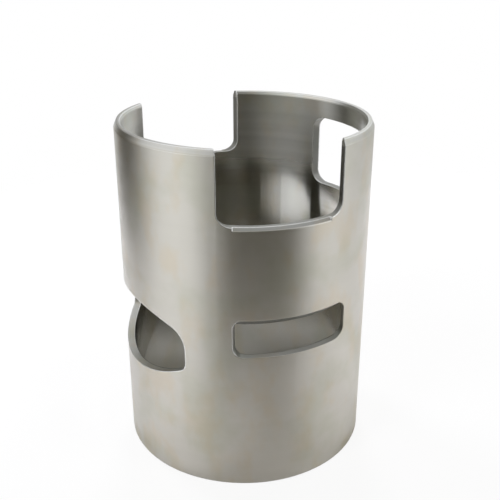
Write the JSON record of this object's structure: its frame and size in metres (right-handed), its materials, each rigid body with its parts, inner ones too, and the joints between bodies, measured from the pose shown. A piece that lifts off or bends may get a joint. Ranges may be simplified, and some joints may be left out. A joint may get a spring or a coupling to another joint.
{
  "type": "cylinder liner",
  "caption": "Thin ported cylinder sleeve with an arched exhaust port, side transfer slots, skirt notches, a skirt window and a chamfered crankcase rim.",
  "frame": {"origin": "centre of the head-end face, on the bore axis", "axes": "+Z along the bore axis from the head end to the crankcase end; -X towards the exhaust port and +X towards the skirt window; the part is mirror symmetric about the XZ plane"},
  "size_m": [0.085, 0.085, 0.115],
  "materials": {
    "ground_iron": "satin, ground outside and honed inside"
  },
  "bodies": {
    "root": {"cylinder_liner": "ground_iron"}
  },
  "joints": []
}
